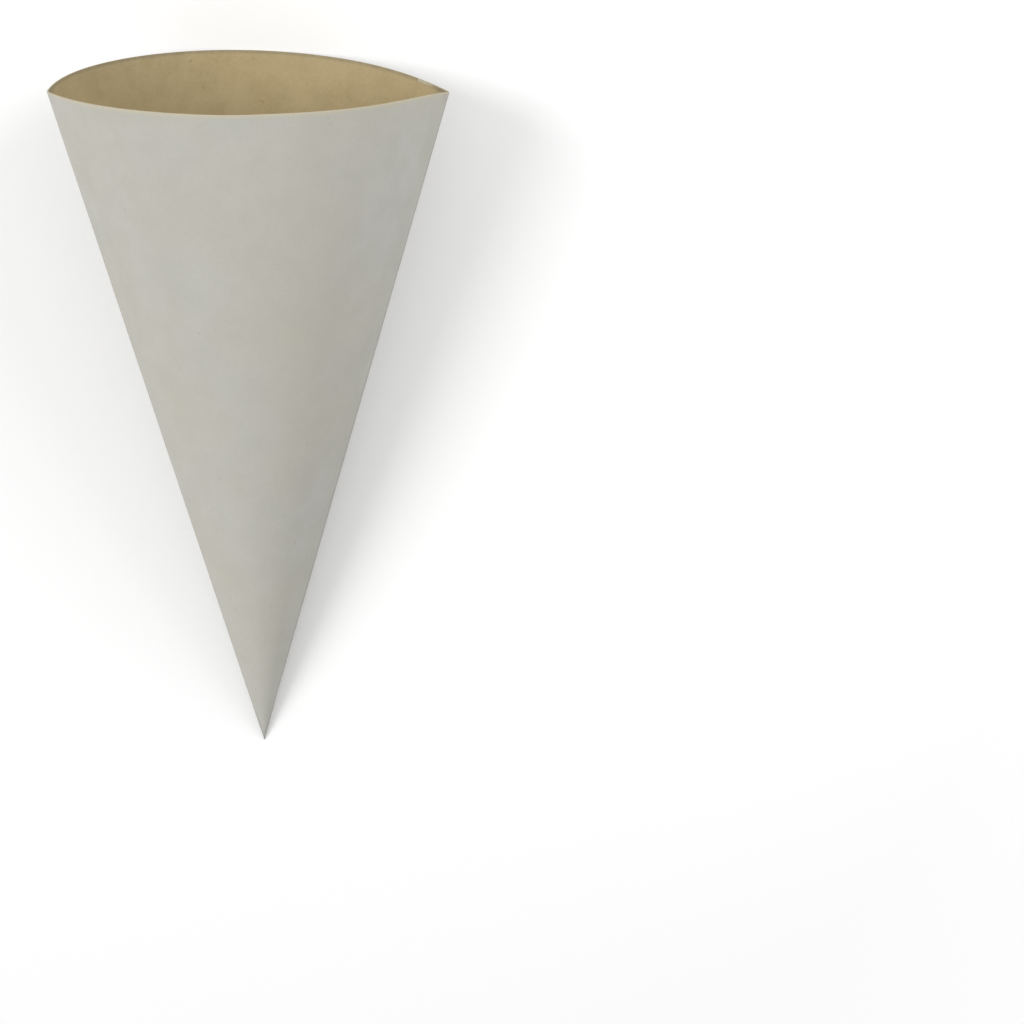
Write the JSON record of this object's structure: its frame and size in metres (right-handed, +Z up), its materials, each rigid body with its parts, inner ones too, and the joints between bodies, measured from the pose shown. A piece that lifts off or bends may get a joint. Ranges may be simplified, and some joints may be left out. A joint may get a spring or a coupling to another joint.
{
  "type": "cone paper cup",
  "caption": "Folded board cone for snacks or drink: pointed tip, leaf-shaped open mouth between a soft crease and a sharp crease, kraft brown inside.",
  "frame": {"origin": "on the table under the middle of the cup's bounding box, as the cup lies on its back wall", "axes": "+Z up from the table, +Y along the cup from the tip to the mouth, +X from the soft left crease to the sharp right crease"},
  "size_m": [0.0954, 0.1738, 0.0742],
  "materials": {
    "board": "uncoated duplex board, off-white outside and kraft brown inside"
  },
  "bodies": {
    "root": {"cone_cup": "board"}
  },
  "joints": []
}
